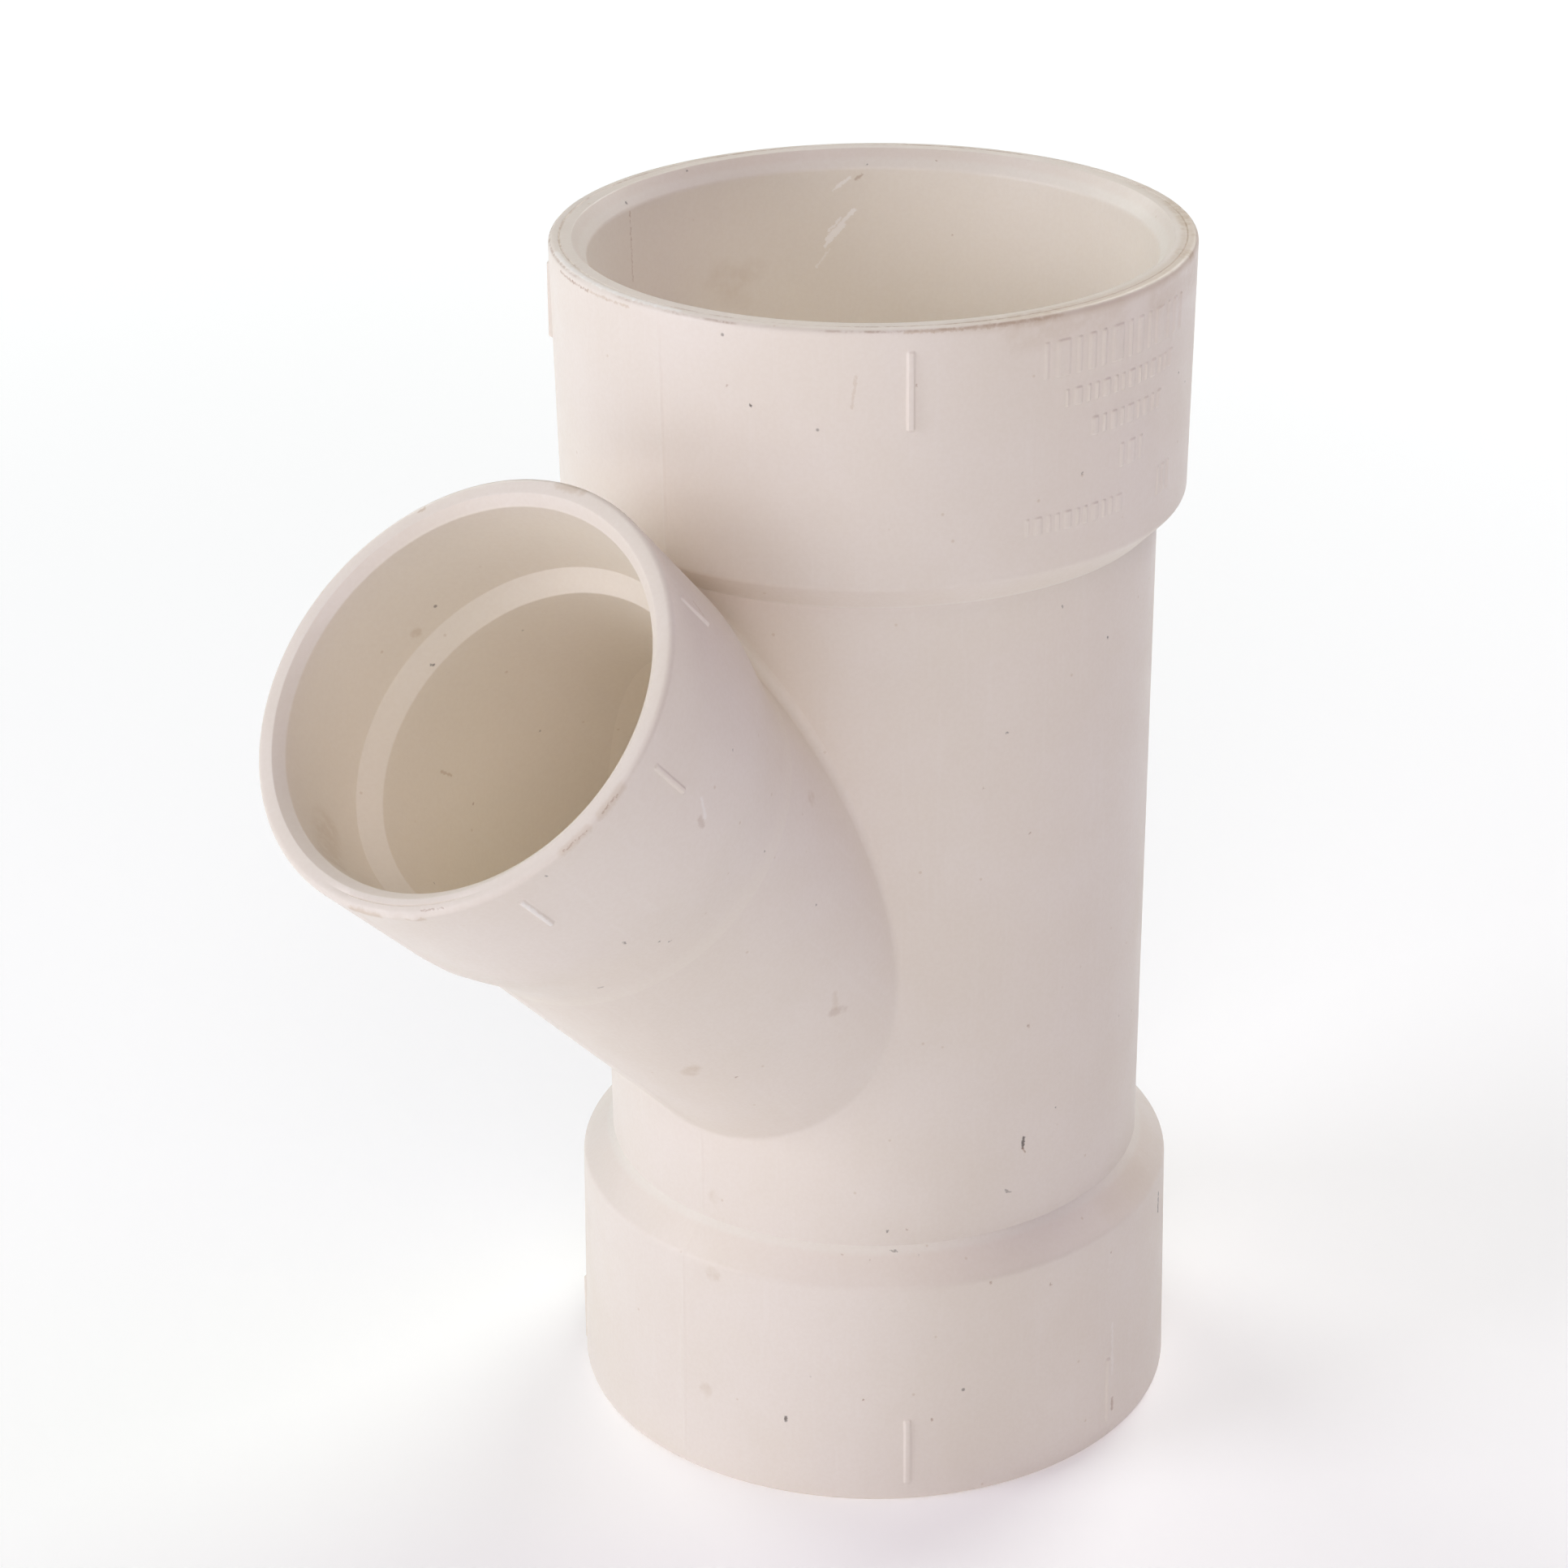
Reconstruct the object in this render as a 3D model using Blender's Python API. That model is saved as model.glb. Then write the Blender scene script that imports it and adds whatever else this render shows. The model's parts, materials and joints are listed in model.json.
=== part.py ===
"""Reducing 45 degree wye, solvent-weld drain fitting: three sockets, one moulding.

Row frame in metres: +Z up the straight run, the small branch leans up towards -X,
and the origin is the centre of the footprint at the lower rim.
"""

import math

import bmesh
import bpy
from mathutils import Matrix, Vector

MM = 0.001

# Straight run, measured from the lower rim along its own axis.
HEIGHT = 204.2 * MM
HUB_R_RIM = 51.1 * MM
HUB_R_SHOULDER = 50.45 * MM
BARREL_R_LOW = 45.2 * MM
BARREL_R_HIGH = 45.9 * MM
CREASE_LOW = 45.9 * MM
CREASE_HIGH = 158.5 * MM
SHOULDER_SLOPE = math.radians(45.0)
SHOULDER_EDGE_R = 1.6 * MM

# Sockets of the run: standard 3 in drainage socket.
RUN_SOCKET_MOUTH_R = 44.7 * MM
RUN_SOCKET_SEAT_R = 44.35 * MM
RUN_SOCKET_DEPTH = 38.1 * MM
RUN_BORE_R = 39.7 * MM
RUN_SEAT_DROP = 4.6 * MM
RUN_LEAD_IN = 2.7 * MM
RUN_RIM_EDGE_R = 0.9 * MM

# Branch, measured along its own axis from where it crosses the run's axis.
BRANCH_ANGLE = math.radians(45.0)
BRANCH_Z = 61.2 * MM
BRANCH_LENGTH = 135.9 * MM
BRANCH_HUB_R_RIM = 35.4 * MM
BRANCH_HUB_R_SHOULDER = 34.7 * MM
BRANCH_SHOULDER_TOP = 112.5 * MM
BRANCH_SHOULDER_FOOT = 91.2 * MM
ARM_R = 31.27 * MM

# Socket of the branch: standard 2 in drainage socket.
BRANCH_SOCKET_MOUTH_R = 31.2 * MM
BRANCH_SOCKET_SEAT_R = 30.15 * MM
BRANCH_SOCKET_DEPTH = 19.05 * MM
BRANCH_BORE_R = 27.4 * MM
BRANCH_SEAT_DROP = 3.3 * MM
BRANCH_LEAD_IN = 1.5 * MM
BRANCH_RIM_EDGE_R = 0.9 * MM

# Raised alignment ribs on the hubs.
UPPER_RIB_PROUD = 0.65 * MM
LOWER_RIB_PROUD = 0.4 * MM
BRANCH_RIB_PROUD = 0.5 * MM
RIB_ROOT = 1.2 * MM
RUN_RIB_WIDTH = 1.3 * MM
RUN_RIB_FROM_RIM = 3.3 * MM
RUN_RIB_LENGTH = 12.3 * MM
BRANCH_RIB_WIDTH = 1.0 * MM
BRANCH_RIB_FROM_RIM = 4.0 * MM
BRANCH_RIB_LENGTH = 9.0 * MM
UPPER_RIB_ANGLES = (45, 135, 225, 315)
LOWER_RIB_ANGLES = (45, 90, 135, 225, 270, 315)
BRANCH_RIB_ANGLES = (45, 90, 135, 225, 270, 315)

GAP = 0.3 * MM
RUN_SEGMENTS = 96
BRANCH_SEGMENTS = 80
CUTTER_SEGMENTS = 96


def clear_scene():
    for obj in list(bpy.data.objects):
        bpy.data.objects.remove(obj, do_unlink=True)


def reach_of_branch():
    """How far the branch rim's rounded edge reaches from the run's axis."""
    edge = BRANCH_RIM_EDGE_R
    along = (BRANCH_LENGTH - edge) * math.sin(BRANCH_ANGLE)
    across = (BRANCH_HUB_R_RIM - edge) * math.cos(BRANCH_ANGLE)
    return along + across + edge


def run_axis_x():
    return (reach_of_branch() - HUB_R_RIM) / 2.0


def run_frame():
    return Matrix.Translation((run_axis_x(), 0.0, 0.0))


def branch_frame():
    """Local +Z along the branch, local +X on its upper side, in the plane of the run."""
    along = Vector((-math.sin(BRANCH_ANGLE), 0.0, math.cos(BRANCH_ANGLE)))
    upper = Vector((math.cos(BRANCH_ANGLE), 0.0, math.sin(BRANCH_ANGLE)))
    side = along.cross(upper)
    turn = Matrix((upper, side, along)).transposed().to_4x4()
    return Matrix.Translation((run_axis_x(), 0.0, BRANCH_Z)) @ turn


def new_object(name, bm):
    mesh = bpy.data.meshes.new(name)
    bm.normal_update()
    bm.to_mesh(mesh)
    bm.free()
    obj = bpy.data.objects.new(name, mesh)
    bpy.context.scene.collection.objects.link(obj)
    return obj


def revolve(name, profile, segments, frame):
    """A ring-shaped solid from a closed (radius, height) profile, listed anticlockwise."""
    bm = bmesh.new()
    rings = []
    for step in range(segments):
        turn = 2.0 * math.pi * step / segments
        ring = []
        for radius, height in profile:
            point = Vector((radius * math.cos(turn), radius * math.sin(turn), height))
            ring.append(bm.verts.new(frame @ point))
        rings.append(ring)
    count = len(profile)
    for step in range(segments):
        here = rings[step]
        there = rings[(step + 1) % segments]
        for i in range(count):
            j = (i + 1) % count
            bm.faces.new((here[i], there[i], there[j], here[j]))
    bmesh.ops.recalc_face_normals(bm, faces=bm.faces)
    return new_object(name, bm)


def cutter_column(name, radius_low, radius_high, low, high, segments, frame):
    """A solid tapered column used only to cut."""
    bm = bmesh.new()
    bottom = []
    top = []
    for step in range(segments):
        turn = 2.0 * math.pi * (step + 0.5) / segments
        unit = Vector((math.cos(turn), math.sin(turn), 0.0))
        bottom.append(bm.verts.new(frame @ (unit * radius_low + Vector((0, 0, low)))))
        top.append(bm.verts.new(frame @ (unit * radius_high + Vector((0, 0, high)))))
    for step in range(segments):
        after = (step + 1) % segments
        bm.faces.new((bottom[step], bottom[after], top[after], top[step]))
    bm.faces.new(bottom)
    bm.faces.new(top)
    bmesh.ops.recalc_face_normals(bm, faces=bm.faces)
    obj = new_object(name, bm)
    obj.hide_render = True
    obj.display_type = "WIRE"
    return obj


def rib_block(name, width, inner, outer, low, high, frame):
    """A bar with a rounded crown that runs along a hub, radially from inner to outer."""
    bm = bmesh.new()
    half = width / 2.0
    crown = outer - 0.35 * width
    section = (
        (inner, -half),
        (crown, -half),
        (outer, -0.45 * half),
        (outer, 0.45 * half),
        (crown, half),
        (inner, half),
    )
    ends = []
    for height in (low, high):
        ends.append([bm.verts.new(frame @ Vector((x, y, height))) for x, y in section])
    count = len(section)
    for i in range(count):
        j = (i + 1) % count
        bm.faces.new((ends[0][i], ends[0][j], ends[1][j], ends[1][i]))
    bm.faces.new(ends[0])
    bm.faces.new(ends[1])
    bmesh.ops.recalc_face_normals(bm, faces=bm.faces)
    obj = new_object(name, bm)
    obj.hide_render = True
    obj.display_type = "WIRE"
    return obj


def apply_boolean(obj, other, operation):
    modifier = obj.modifiers.new(operation.title(), "BOOLEAN")
    modifier.operation = operation
    modifier.solver = "EXACT"
    modifier.object = other
    depsgraph = bpy.context.evaluated_depsgraph_get()
    mesh = bpy.data.meshes.new_from_object(obj.evaluated_get(depsgraph))
    obj.modifiers.clear()
    old = obj.data
    obj.data = mesh
    mesh.name = old.name
    bpy.data.meshes.remove(old)
    bpy.data.objects.remove(other, do_unlink=True)


def shade(obj, angle_degrees=32.0):
    for polygon in obj.data.polygons:
        polygon.use_smooth = True
    obj.data.set_sharp_from_angle(angle=math.radians(angle_degrees))


def arc(centre, radius, start, end, steps):
    """Points of an arc in the (radius, height) plane, angles in degrees."""
    points = []
    for i in range(steps + 1):
        angle = math.radians(start + (end - start) * i / steps)
        points.append((centre[0] + radius * math.cos(angle), centre[1] + radius * math.sin(angle)))
    return points


def rib_set(obj, angles, frame, width, hub_r, proud, low, high):
    """Joins one raised rib per angle; 0 degrees is the frame's own +X."""
    for degrees in angles:
        turned = frame @ Matrix.Rotation(math.radians(degrees), 4, "Z")
        block = rib_block("rib_stock", width, hub_r - RIB_ROOT, hub_r + proud, low, high, turned)
        apply_boolean(obj, block, "UNION")


def barrel_radius(height):
    share = (height - CREASE_LOW) / (CREASE_HIGH - CREASE_LOW)
    return BARREL_R_LOW + share * (BARREL_R_HIGH - BARREL_R_LOW)


def run_hub_profile(crease, crease_r):
    """Profile of a run hub that opens upwards, its rim at height 0 and the crease below."""
    depth = crease
    edge = RUN_RIM_EDGE_R
    corner = SHOULDER_EDGE_R
    slope = SHOULDER_SLOPE
    # Where the shoulder's straight flank meets its rounded corner.
    corner_centre_r = HUB_R_SHOULDER - corner
    flank_r = corner_centre_r + corner * math.cos(slope)
    flank_h = -depth + (flank_r - crease_r) / math.tan(slope)
    corner_centre_h = flank_h + corner * math.sin(slope)
    outer = [(crease_r, -depth)]
    outer += arc((corner_centre_r, corner_centre_h), corner, -45.0, 0.0, 3)
    outer += arc((HUB_R_RIM - edge, -edge), edge, 0.0, 90.0, 4)
    lead_r = RUN_SOCKET_MOUTH_R + RUN_LEAD_IN
    inner = [
        (lead_r, 0.0),
        (RUN_SOCKET_MOUTH_R, -RUN_LEAD_IN),
        (RUN_SOCKET_SEAT_R, -RUN_SOCKET_DEPTH),
        (RUN_BORE_R, -RUN_SOCKET_DEPTH - RUN_SEAT_DROP),
        (RUN_BORE_R, -depth),
    ]
    return outer + inner


def build_upper_hub():
    """Upper run socket: rim, pipe seat and the shoulder down to the barrel."""
    depth = HEIGHT - CREASE_HIGH - GAP / 2.0
    frame = run_frame() @ Matrix.Translation((0.0, 0.0, HEIGHT))
    profile = run_hub_profile(depth, BARREL_R_HIGH)
    obj = revolve("upper_run_hub", profile, RUN_SEGMENTS, frame)
    high = -RUN_RIB_FROM_RIM
    low = high - RUN_RIB_LENGTH
    width = RUN_RIB_WIDTH
    rib_set(obj, UPPER_RIB_ANGLES, frame, width, HUB_R_RIM, UPPER_RIB_PROUD, low, high)
    return obj


def build_lower_hub():
    """Lower run socket, the same form facing down."""
    depth = CREASE_LOW - GAP / 2.0
    flip = Matrix.Diagonal((1.0, 1.0, -1.0, 1.0))
    frame = run_frame() @ flip
    profile = run_hub_profile(depth, BARREL_R_LOW)
    obj = revolve("lower_run_hub", profile, RUN_SEGMENTS, frame)
    high = -RUN_RIB_FROM_RIM
    low = high - RUN_RIB_LENGTH
    width = RUN_RIB_WIDTH
    rib_set(obj, LOWER_RIB_ANGLES, frame, width, HUB_R_RIM, LOWER_RIB_PROUD, low, high)
    return obj


def branch_bore_cutter():
    return cutter_column(
        "bore_cutter",
        BRANCH_BORE_R,
        BRANCH_BORE_R,
        0.0,
        BRANCH_SHOULDER_TOP,
        CUTTER_SEGMENTS,
        branch_frame(),
    )


def build_barrel():
    """Straight wall between the two run hubs, opened on the branch side."""
    low = CREASE_LOW + GAP / 2.0
    high = CREASE_HIGH - GAP / 2.0
    profile = [
        (RUN_BORE_R, low),
        (barrel_radius(low), low),
        (barrel_radius(high), high),
        (RUN_BORE_R, high),
    ]
    obj = revolve("run_barrel", profile, RUN_SEGMENTS, run_frame())
    apply_boolean(obj, branch_bore_cutter(), "DIFFERENCE")
    return obj


def saddle_cutter():
    """The barrel's outside plus the joint gap, used to trim what meets it."""
    low = CREASE_LOW - 10.0 * MM
    high = CREASE_HIGH
    return cutter_column(
        "saddle_cutter",
        barrel_radius(low) + GAP,
        barrel_radius(high) + GAP,
        low,
        high,
        RUN_SEGMENTS,
        run_frame() @ Matrix.Rotation(math.pi / RUN_SEGMENTS, 4, "Z"),
    )


def build_arm():
    """Branch arm from the saddle on the barrel up to its socket hub."""
    top = BRANCH_SHOULDER_FOOT - GAP / 2.0
    profile = [
        (BRANCH_BORE_R, 8.0 * MM),
        (ARM_R, 8.0 * MM),
        (ARM_R, top),
        (BRANCH_BORE_R, top),
    ]
    obj = revolve("branch_arm", profile, BRANCH_SEGMENTS, branch_frame())
    apply_boolean(obj, saddle_cutter(), "DIFFERENCE")
    return obj


def shoulder_curve(steps):
    """S-shaped blend from the arm's radius out to the branch hub's radius."""
    points = []
    span = BRANCH_SHOULDER_TOP - BRANCH_SHOULDER_FOOT
    for i in range(steps + 1):
        share = i / steps
        ease = 0.5 - 0.5 * math.cos(math.pi * share)
        radius = ARM_R + ease * (BRANCH_HUB_R_SHOULDER - ARM_R)
        points.append((radius, BRANCH_SHOULDER_FOOT + share * span))
    return points


def build_branch_hub():
    """Branch socket: rim, pipe seat and the S-shaped shoulder."""
    edge = BRANCH_RIM_EDGE_R
    foot = BRANCH_SHOULDER_FOOT + GAP / 2.0
    seat = BRANCH_LENGTH - BRANCH_SOCKET_DEPTH
    blend = shoulder_curve(8)
    blend[0] = (blend[0][0], foot)
    outer = blend + arc(
        (BRANCH_HUB_R_RIM - edge, BRANCH_LENGTH - edge), edge, 0.0, 90.0, 4
    )
    inner = [
        (BRANCH_SOCKET_MOUTH_R + BRANCH_LEAD_IN, BRANCH_LENGTH),
        (BRANCH_SOCKET_MOUTH_R, BRANCH_LENGTH - BRANCH_LEAD_IN),
        (BRANCH_SOCKET_SEAT_R, seat),
        (BRANCH_BORE_R, seat - BRANCH_SEAT_DROP),
        (BRANCH_BORE_R, foot),
    ]
    frame = branch_frame()
    obj = revolve("branch_hub", outer + inner, BRANCH_SEGMENTS, frame)
    apply_boolean(obj, saddle_cutter(), "DIFFERENCE")
    high = BRANCH_LENGTH - BRANCH_RIB_FROM_RIM
    low = high - BRANCH_RIB_LENGTH
    width = BRANCH_RIB_WIDTH
    rib_set(obj, BRANCH_RIB_ANGLES, frame, width, BRANCH_HUB_R_RIM, BRANCH_RIB_PROUD, low, high)
    return obj


def pvc(name, colour, roughness):
    material = bpy.data.materials.new(name)
    material.use_nodes = True
    shader = material.node_tree.nodes["Principled BSDF"]
    shader.inputs["Base Color"].default_value = (*colour, 1.0)
    shader.inputs["Roughness"].default_value = roughness
    shader.inputs["Metallic"].default_value = 0.0
    material.diffuse_color = (*colour, 1.0)
    return material


def main():
    clear_scene()
    parts = (
        (build_barrel(), "pvc_barrel"),
        (build_upper_hub(), "pvc_upper_hub"),
        (build_lower_hub(), "pvc_lower_hub"),
        (build_arm(), "pvc_branch_arm"),
        (build_branch_hub(), "pvc_branch_hub"),
    )
    for obj, slot in parts:
        obj.data.materials.clear()
        obj.data.materials.append(pvc(slot, (0.74, 0.69, 0.62), 0.42))
        shade(obj)


main()
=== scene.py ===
"""Looks of the reducing wye drain fitting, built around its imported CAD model.

Bearings are angles about an axis in degrees: 0 faces the branch's heading on the run and the
upper side on the branch, and positive bearings turn towards -Y. Sizes are metres.
"""

import json
import math

import bmesh
import bpy
import numpy as np
from mathutils import Matrix, Vector


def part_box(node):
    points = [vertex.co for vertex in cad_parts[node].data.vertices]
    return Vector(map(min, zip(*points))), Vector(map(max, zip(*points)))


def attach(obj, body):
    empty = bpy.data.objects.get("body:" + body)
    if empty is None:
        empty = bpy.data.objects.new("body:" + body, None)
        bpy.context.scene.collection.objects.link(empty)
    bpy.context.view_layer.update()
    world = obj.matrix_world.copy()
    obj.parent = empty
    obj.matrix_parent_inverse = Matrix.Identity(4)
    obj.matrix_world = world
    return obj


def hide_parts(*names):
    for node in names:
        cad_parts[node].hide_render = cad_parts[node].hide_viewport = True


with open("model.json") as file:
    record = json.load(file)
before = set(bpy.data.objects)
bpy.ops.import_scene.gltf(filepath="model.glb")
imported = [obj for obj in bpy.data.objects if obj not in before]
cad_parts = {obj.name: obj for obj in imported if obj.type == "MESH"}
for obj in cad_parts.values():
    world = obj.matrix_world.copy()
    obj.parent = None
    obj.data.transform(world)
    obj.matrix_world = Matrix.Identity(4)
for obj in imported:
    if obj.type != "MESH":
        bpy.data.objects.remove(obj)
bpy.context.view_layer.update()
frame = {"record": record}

MM = 0.001

# Places and driving sizes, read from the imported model.
HUB_LOW, HUB_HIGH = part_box("upper_run_hub")
BARREL_LOW, BARREL_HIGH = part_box("run_barrel")
BRANCH_LOW, BRANCH_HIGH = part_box("branch_hub")
MOUNTS = {mount["name"]: mount for mount in frame["record"]["mounts"]}
RUN_X = (HUB_LOW.x + HUB_HIGH.x) / 2
TOP = HUB_HIGH.z
RIM_R = (HUB_HIGH.x - HUB_LOW.x) / 2
CREASE_HIGH = (HUB_LOW.z + BARREL_HIGH.z) / 2
CREASE_LOW = (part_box("lower_run_hub")[1].z + BARREL_LOW.z) / 2
ALONG = np.array(MOUNTS["branch_rim"]["axis"])
ALONG = ALONG / np.linalg.norm(ALONG)
UPPER = np.array([ALONG[2], 0.0, -ALONG[0]])
NEAR = np.array([0.0, -1.0, 0.0])
CROSSING = np.array([RUN_X, 0.0, BRANCH_HIGH.z - (RUN_X - BRANCH_LOW.x)])
BRANCH_LENGTH = float((np.array(MOUNTS["branch_rim"]["pos_m"]) - CROSSING) @ ALONG)

# Run: wall, shoulders and sockets. Depths are measured from the nearer rim.
BARREL_R_LOW = 45.2 * MM
BARREL_R_HIGH = 45.9 * MM
SHOULDER_R = 50.45 * MM
SHOULDER_EDGE = 1.6 * MM
RIM_EDGE = 0.9 * MM
LAND_R = 47.4 * MM
MOUTH_R = 45.1 * MM
LEAD_DEPTH = 2.9 * MM
SEAT_R = 44.35 * MM
SOCKET_DEPTH = 38.1 * MM
BORE_R = 39.7 * MM
SEAT_DROP = 4.6 * MM

# Branch: distances run along its axis from where it crosses the run's axis.
ARM_R = 31.27 * MM
BRANCH_SHOULDER_R = 34.7 * MM
BRANCH_RIM_R = 35.4 * MM
BRANCH_RIM_EDGE = 0.9 * MM
SHOULDER_FOOT = 91.2 * MM
SHOULDER_TOP = 112.5 * MM
BRANCH_LAND_R = 32.7 * MM
BRANCH_MOUTH_R = 31.2 * MM
BRANCH_SEAT_R = 30.15 * MM
BRANCH_SOCKET_DEPTH = 19.05 * MM
BRANCH_BORE_R = 27.4 * MM
BRANCH_SEAT_DROP = 3.3 * MM
SADDLE_R = 1.5 * MM
PORT_EDGE = 0.6 * MM

# A fine moulded step runs round each run rim, and along a short stretch of the branch rim:
# (middle bearing, half length in degrees).
STEP_WIDTH = 0.28 * MM
STEP_DEPTH = 0.16 * MM
RUN_STEP_R = 49.35 * MM
BRANCH_STEP_R = 33.7 * MM
BRANCH_STEP_SPAN = (164.0, 26.0)

# Raised alignment ribs: (width, length, distance from the rim, height). A rib is highest at
# the end away from the rim, and this share of that height at the other.
RIB_FLANK = 0.42 * MM
RIB_RIM_END = 0.55
UPPER_RIB = (1.45 * MM, 12.6 * MM, 3.2 * MM, 0.62 * MM)
LOWER_RIB = (1.45 * MM, 12.6 * MM, 3.2 * MM, 0.38 * MM)
BRANCH_RIB = (1.2 * MM, 9.2 * MM, 3.9 * MM, 0.45 * MM)
UPPER_RIBS = (45, 135, 225, 315)
LOWER_RIBS = (45, 90, 135, 225, 270, 315)
BRANCH_RIBS = (45, 90, 135, 225, 270, 315)

# The mould's parting line is a faint ridge in the plane that holds both axes.
RIDGE_HEIGHT = 0.1 * MM
RIDGE_WIDTH = 0.28 * MM

# Plain raised bars on the near side of the upper hub, in rows:
# (lowest z, highest z, first bearing, last bearing, gap, widths in turn).
BAR_HEIGHT = 0.22 * MM
BAR_FLANK = 0.3 * MM
BAR_CORNER = 0.45 * MM
BAR_ROWS = (
    (194.1 * MM, 200.1 * MM, 68.5, 107.5, 1.3 * MM, (0.9 * MM, 2.6 * MM, 0.9 * MM, 1.5 * MM)),
    (189.1 * MM, 192.1 * MM, 73.0, 103.5, 0.9 * MM, (0.8 * MM, 1.6 * MM, 0.8 * MM)),
    (183.5 * MM, 186.6 * MM, 79.0, 100.5, 0.9 * MM, (1.5 * MM, 0.8 * MM)),
    (176.7 * MM, 180.8 * MM, 86.5, 94.5, 1.1 * MM, (0.9 * MM, 1.8 * MM)),
    (169.5 * MM, 172.6 * MM, 65.5, 87.5, 0.8 * MM, (0.8 * MM, 1.5 * MM, 0.8 * MM)),
    (168.6 * MM, 173.9 * MM, 98.5, 104.0, 0.9 * MM, (0.8 * MM, 1.2 * MM)),
)
BAR_ZONE = (63.0, 110.0)

# Flash nubs left on the branch rim's lower edge: (bearing, width, height).
NUBS = ((160.5, 2.2 * MM, 0.52 * MM), (166.5, 1.6 * MM, 0.34 * MM))
NUB_REACH = 2.2 * MM

# How finely the surfaces are divided.
COARSE_DEG = 2.25
FINE = 0.25 * MM
RIB_FINE = 0.13 * MM
WINDOW_DEG = 60.0
WINDOW_CORNER = 52.0
WINDOW_MARGIN = 1.2 * MM
SHARP_DEG = 40.0
WELD = 0.0005 * MM
SEARCH_SPAN = (10 * MM, 118 * MM)
HALVINGS = 50


# ---- outlines and reliefs ----------------------------------------------------------------


def barrel_radius(z):
    share = (z - CREASE_LOW) / (CREASE_HIGH - CREASE_LOW)
    return BARREL_R_LOW + (BARREL_R_HIGH - BARREL_R_LOW) * share


def branch_radius(length):
    """The branch's outer radius: a straight arm, an S-shaped shoulder and the hub's wall."""
    share = np.clip((length - SHOULDER_FOOT) / (SHOULDER_TOP - SHOULDER_FOOT), 0, 1)
    rise = 0.5 - 0.5 * np.cos(math.pi * share)
    wall = np.clip((length - SHOULDER_TOP) / (BRANCH_LENGTH - SHOULDER_TOP), 0, 1)
    return ARM_R + (BRANCH_SHOULDER_R - ARM_R) * rise + (BRANCH_RIM_R - BRANCH_SHOULDER_R) * wall


def smooth(low, high, value):
    share = np.clip((value - low) / (high - low), 0, 1)
    return share * share * (3 - 2 * share)


def pad(across, along, width, length, corner, flank):
    """How much of its height a rounded rectangular pad has at offsets from its middle."""
    dx = np.abs(across) - width / 2 + corner
    dy = np.abs(along) - length / 2 + corner
    outside = np.hypot(np.maximum(dx, 0), np.maximum(dy, 0))
    distance = outside + np.minimum(np.maximum(dx, dy), 0) - corner
    return smooth(0, flank, -distance)


def turned(bearing, middle):
    """The signed angle from middle to bearing, in radians."""
    return np.radians((bearing - middle + 180.0) % 360.0 - 180.0)


def rib_relief(bearing, depth, radius, middles, rib):
    width, length, start, height = rib
    found = np.zeros(np.broadcast(bearing, depth).shape)
    for middle in middles:
        across = turned(bearing, middle) * radius
        share = pad(across, depth - start - length / 2, width, length, width / 3, RIB_FLANK)
        taper = RIB_RIM_END + (1 - RIB_RIM_END) * np.clip((depth - start) / length, 0, 1)
        found = np.maximum(found, height * taper * share)
    return found


def ridge_relief(bearing, radius):
    found = 0.0
    for middle in (0, 180):
        across = turned(bearing, middle) * radius
        found = found + RIDGE_HEIGHT * np.exp(-((across / RIDGE_WIDTH) ** 2))
    return found


def nub_relief(bearing, depth):
    found = 0.0
    for middle, width, height in NUBS:
        across = turned(bearing, middle) * BRANCH_RIM_R
        found = found + height * np.exp(-((2 * across / width) ** 2))
    return found * smooth(0, NUB_REACH, NUB_REACH - depth)


def bars(row):
    """(middle bearing, width) of each bar of a row."""
    _, _, first, last, gap, widths = row
    at, count = math.radians(first) * RIM_R, 0
    while True:
        width = widths[count % len(widths)]
        if at + width > math.radians(last) * RIM_R:
            return
        yield math.degrees((at + width / 2) / RIM_R), width
        at, count = at + width + gap, count + 1


def bar_relief(bearing, z):
    found = np.zeros(np.broadcast(bearing, z).shape)
    for row in BAR_ROWS:
        low, high = row[:2]
        for middle, width in bars(row):
            across = turned(bearing, middle) * RIM_R
            along = z - (low + high) / 2
            share = pad(across, along, width, high - low, BAR_CORNER, BAR_FLANK)
            found = np.maximum(found, BAR_HEIGHT * share)
    return found


def rounded(corners, steps=5):
    """An open outline through corners given as (radius, depth, rounding)."""
    points = [np.array(corner[:2]) for corner in corners]
    found = [points[0]]
    for before, here, after, corner in zip(points, points[1:], points[2:], corners[1:]):
        rounding = corner[2]
        if rounding == 0:
            found.append(here)
            continue
        into = (before - here) / np.linalg.norm(before - here)
        out = (after - here) / np.linalg.norm(after - here)
        half = math.acos(np.clip(into @ out, -1, 1)) / 2
        back = rounding / math.tan(half)
        start, end = here + into * back, here + out * back
        centre = here + (into + out) / np.linalg.norm(into + out) * rounding / math.sin(half)
        sweep = math.pi - 2 * half
        a, b = (start - centre) / rounding, (end - centre) / rounding
        for i in range(steps + 1):
            t = i / steps
            weight_a = math.sin((1 - t) * sweep) / math.sin(sweep)
            weight_b = math.sin(t * sweep) / math.sin(sweep)
            found.append(centre + rounding * (a * weight_a + b * weight_b))
    found.append(points[-1])
    return np.array(found)


def with_stations(outline, stations, first, last):
    """The outline with extra points at these depths, between the depths first and last."""
    found = [outline[0]]
    for before, after in zip(outline, outline[1:]):
        low = max(min(before[1], after[1]) + 0.05 * MM, first)
        high = min(max(before[1], after[1]) - 0.05 * MM, last)
        inside = sorted(d for d in stations if low < d < high)
        if after[1] < before[1]:
            inside.reverse()
        for d in inside:
            t = (d - before[1]) / (after[1] - before[1])
            found.append(before + (after - before) * t)
        found.append(after)
    return np.array(found)


# ---- how surfaces are divided ------------------------------------------------------------


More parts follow.
